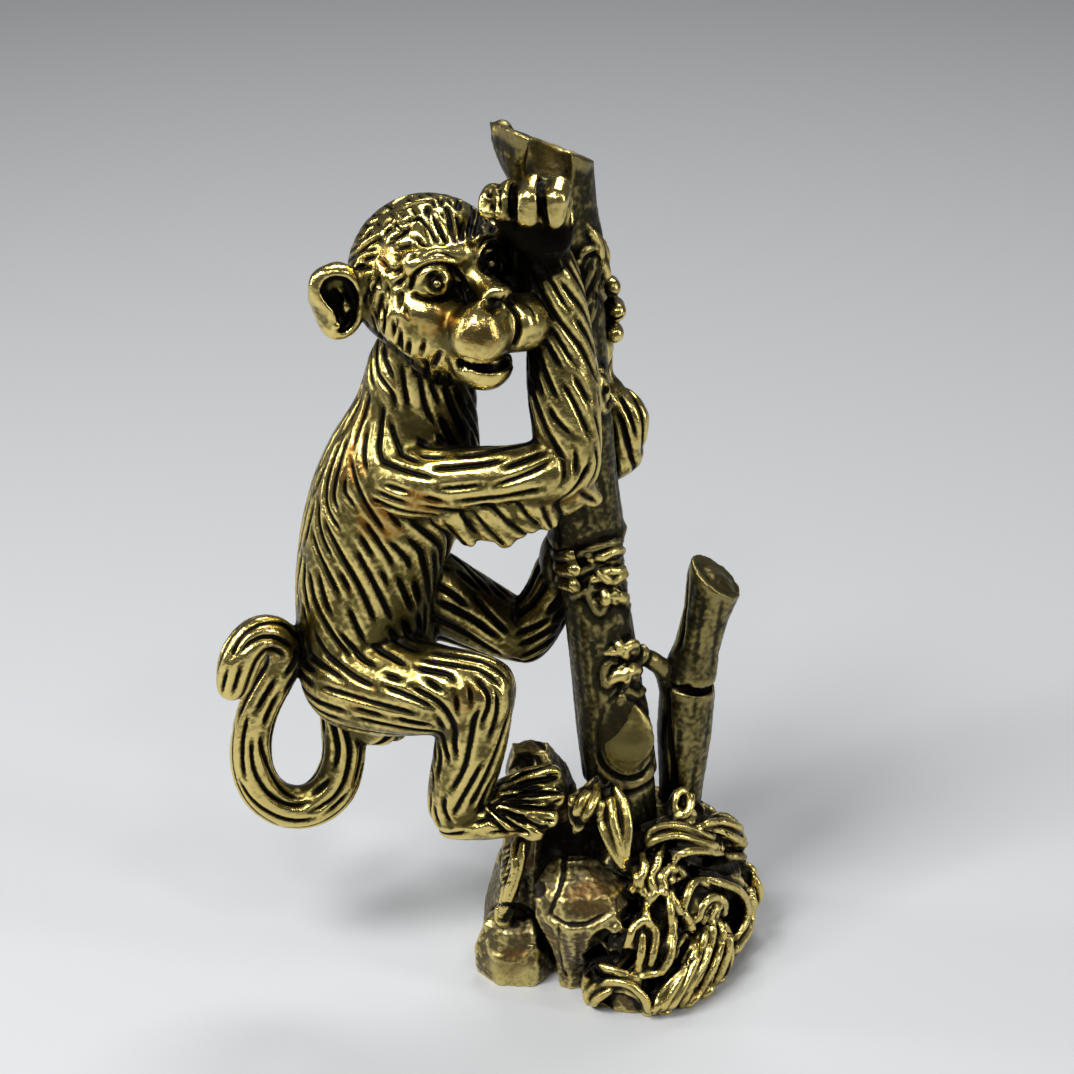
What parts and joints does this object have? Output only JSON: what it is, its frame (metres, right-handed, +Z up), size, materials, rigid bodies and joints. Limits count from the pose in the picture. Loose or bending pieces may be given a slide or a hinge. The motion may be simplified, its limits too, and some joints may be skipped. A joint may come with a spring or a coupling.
{
  "type": "monkey figurine",
  "caption": "Cast brass ornament of a smiling long-tailed monkey that clings to a stalk of bamboo on a small mound of rocks and leaves.",
  "frame": {"origin": "centre of the mound's flat underside, on the surface that the figurine stands on", "axes": "+Z up along the bamboo; -Y towards the viewer of the picture; +X to the viewer's right, so the monkey hangs on the -X side of the tall stalk and faces -Y and +X"},
  "size_m": [0.0454, 0.0208, 0.0751],
  "materials": {
    "monkey_brass": "antique brass, bright on the ridges of the fur and dark in the strokes, with orange-brown patches",
    "bamboo_brass": "dull grey-brown antique brass with a fine granular skin and rubbed edges",
    "relief_brass": "rubbed bright on the raised leaves",
    "ground_brass": "antique brass with bright edges and dark hollows",
    "plant_brass": "antique brass, rubbed bright on the blades' ridges"
  },
  "bodies": {
    "root": {"stalk_root": "bamboo_brass", "stalk_lower": "bamboo_brass", "stalk_middle": "bamboo_brass", "stalk_top": "bamboo_brass", "side_stalk_lower": "bamboo_brass", "side_stalk_upper": "bamboo_brass", "stalk_twig": "bamboo_brass", "head": "monkey_brass", "right_ear": "monkey_brass", "left_ear": "monkey_brass", "torso": "monkey_brass", "right_upper_arm": "monkey_brass", "right_forearm": "monkey_brass", "left_upper_arm": "monkey_brass", "left_forearm": "monkey_brass", "right_thigh": "monkey_brass", "right_shin": "monkey_brass", "left_thigh": "monkey_brass", "left_shin": "monkey_brass", "tail": "monkey_brass", "right_arm_fringe": "monkey_brass", "right_hand": "monkey_brass", "left_hand": "monkey_brass", "right_foot": "monkey_brass", "left_foot": "monkey_brass", "sprig_top": "relief_brass", "sprig_high": "relief_brass", "sprig_middle_upper": "relief_brass", "sprig_middle_centre": "relief_brass", "sprig_middle_lower": "relief_brass", "sprig_low_upper": "relief_brass", "sprig_low_lower": "relief_brass", "stalk_sheath": "relief_brass", "mound": "ground_brass", "foot_rock": "ground_brass", "front_left_rock": "ground_brass", "front_boulder": "ground_brass", "hanging_leaf": "plant_brass", "bud_leaf": "plant_brass", "left_leaf": "plant_brass", "right_strands": "plant_brass", "right_leaf": "plant_brass", "crescent_ridge": "plant_brass", "wave_tuft": "plant_brass", "front_curled_leaf": "plant_brass", "front_grass": "plant_brass", "back_grass": "plant_brass", "socket_leaves": "plant_brass", "far_right_leaf": "plant_brass", "stalk_foot_bud": "plant_brass"}
  },
  "joints": []
}
